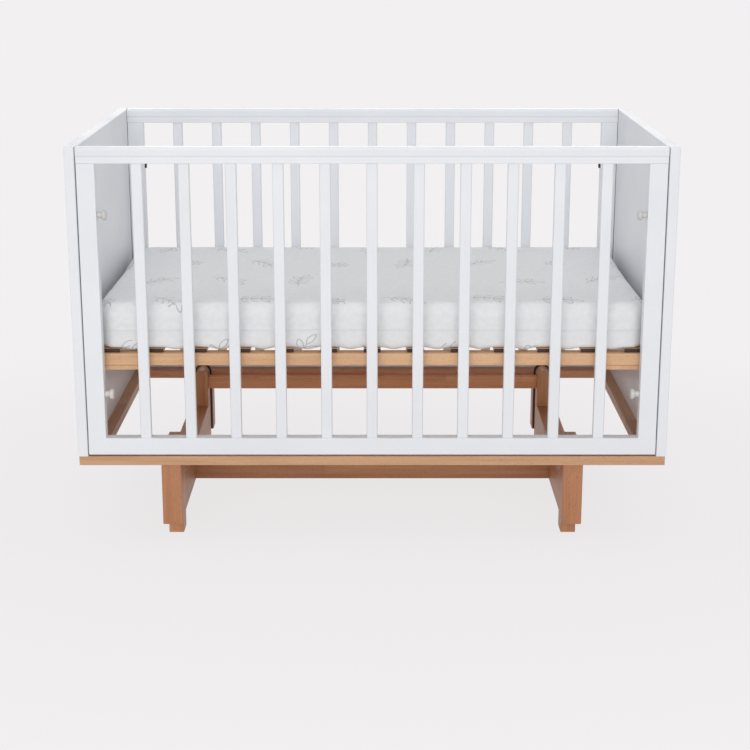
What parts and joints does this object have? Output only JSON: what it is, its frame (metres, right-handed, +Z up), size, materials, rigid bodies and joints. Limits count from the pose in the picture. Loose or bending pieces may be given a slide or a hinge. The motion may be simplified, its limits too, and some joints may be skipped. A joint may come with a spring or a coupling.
{
  "type": "swinging crib",
  "caption": "Wooden crib with plain end panels, slatted sides and a mattress; its body swings lengthwise on links that hang from a low stand.",
  "frame": {"origin": "on the floor, under the middle of the crib", "axes": "+X along the crib to its right end, +Y from the front with the hand knobs to the back, +Z up"},
  "size_m": [1.25, 0.652, 0.8585],
  "materials": {
    "white_paint": "satin white paint on wood",
    "cap_plastic": "smooth white plastic strip",
    "knob_plastic": "moulded white plastic",
    "frame_wood": "clear satin lacquer on reddish beech",
    "base_wood": "planed light hardwood, thin lacquer",
    "link_steel": "dark brown powder coat",
    "bush_nylon": "natural nylon",
    "fastener_steel": "zinc plated",
    "dark_bolts": "dark zinc",
    "insert_brass": "turned",
    "mattress_cover": "white woven cotton with a thin grey-green print"
  },
  "bodies": {
    "stand": {"crossbar": "frame_wood", "crossbar_bolts": "fastener_steel", "end_blocks": "frame_wood", "stand_screws": "fastener_steel", "stretcher_left": "frame_wood", "stretcher_right": "frame_wood", "upper_bar_back": "frame_wood", "upper_bar_front": "frame_wood", "upper_pivot_bolts": "fastener_steel", "upright_back_left": "frame_wood", "upright_back_right": "frame_wood", "upright_front_left": "frame_wood", "upright_front_right": "frame_wood"},
    "crib": {"back_bottom_rail": "white_paint", "back_cap_strip": "cap_plastic", "back_rail_bolts": "dark_bolts", "back_slats": "white_paint", "back_stile_left": "white_paint", "back_stile_right": "white_paint", "back_top_rail": "white_paint", "base_beam_back": "base_wood", "base_beam_front": "base_wood", "base_bolts": "fastener_steel", "base_end_bar_left": "base_wood", "base_end_bar_right": "base_wood", "base_gussets": "base_wood", "base_slats": "base_wood", "end_panel_left": "white_paint", "end_panel_right": "white_paint", "front_bottom_rail": "white_paint", "front_cap_strip": "cap_plastic", "front_slats": "white_paint", "front_stile_left": "white_paint", "front_stile_right": "white_paint", "front_top_rail": "white_paint", "leg_back_left": "frame_wood", "leg_back_right": "frame_wood", "leg_front_left": "frame_wood", "leg_front_right": "frame_wood", "leg_screws": "fastener_steel", "lower_board_back": "frame_wood", "lower_board_front": "frame_wood", "lower_board_left": "frame_wood", "lower_board_right": "frame_wood", "lower_pivot_bolts": "fastener_steel", "panel_screws": "fastener_steel", "rail_inserts": "insert_brass"},
    "knob_lower_left": {"knob_lower_left": "knob_plastic"},
    "knob_lower_right": {"knob_lower_right": "knob_plastic"},
    "knob_upper_left": {"knob_upper_left": "knob_plastic"},
    "knob_upper_right": {"knob_upper_right": "knob_plastic"},
    "link_back_left": {"link_back_left": "link_steel", "link_bushes_back_left": "bush_nylon"},
    "link_back_right": {"link_back_right": "link_steel", "link_bushes_back_right": "bush_nylon"},
    "link_front_left": {"link_bushes_front_left": "bush_nylon", "link_front_left": "link_steel"},
    "link_front_right": {"link_bushes_front_right": "bush_nylon", "link_front_right": "link_steel"},
    "mattress": {"mattress": "mattress_cover"}
  },
  "joints": [
    {"name": "link_swing_front_left", "type": "hinge", "parent": "stand", "child": "link_front_left", "pos_m": [-0.429, -0.277, 0.196], "axis": [0, -1, 0], "range_deg": [-12, 12]},
    {"name": "link_swing_front_right", "type": "hinge", "parent": "stand", "child": "link_front_right", "pos_m": [0.429, -0.277, 0.196], "axis": [0, -1, 0], "range_deg": [-12, 12]},
    {"name": "link_swing_back_left", "type": "hinge", "parent": "stand", "child": "link_back_left", "pos_m": [-0.429, 0.277, 0.196], "axis": [0, -1, 0], "range_deg": [-12, 12]},
    {"name": "link_swing_back_right", "type": "hinge", "parent": "stand", "child": "link_back_right", "pos_m": [0.429, 0.277, 0.196], "axis": [0, -1, 0], "range_deg": [-12, 12]},
    {"name": "crib_swing", "type": "hinge", "parent": "link_front_left", "child": "crib", "pos_m": [-0.429, -0.277, 0.054], "axis": [0, 1, 0], "range_deg": [-12, 12]},
    {"name": "mattress_lift", "type": "slide", "parent": "crib", "child": "mattress", "axis": [0, 0, 1], "range_m": [0, 0.45]},
    {"name": "knob_upper_left_turn", "type": "hinge", "parent": "crib", "child": "knob_upper_left", "pos_m": [-0.5642, -0.314, 0.717], "axis": [1, 0, 0], "continuous": true},
    {"name": "knob_upper_right_turn", "type": "hinge", "parent": "crib", "child": "knob_upper_right", "pos_m": [0.5642, -0.314, 0.717], "axis": [-1, 0, 0], "continuous": true},
    {"name": "knob_lower_left_turn", "type": "hinge", "parent": "crib", "child": "knob_lower_left", "pos_m": [-0.5642, -0.314, 0.332], "axis": [1, 0, 0], "continuous": true},
    {"name": "knob_lower_right_turn", "type": "hinge", "parent": "crib", "child": "knob_lower_right", "pos_m": [0.5642, -0.314, 0.332], "axis": [-1, 0, 0], "continuous": true}
  ],
  "couplings": [
    {"joint": "link_swing_front_left", "follows": "crib_swing", "ratio": 1},
    {"joint": "link_swing_front_right", "follows": "crib_swing", "ratio": 1},
    {"joint": "link_swing_back_left", "follows": "crib_swing", "ratio": 1},
    {"joint": "link_swing_back_right", "follows": "crib_swing", "ratio": 1}
  ]
}
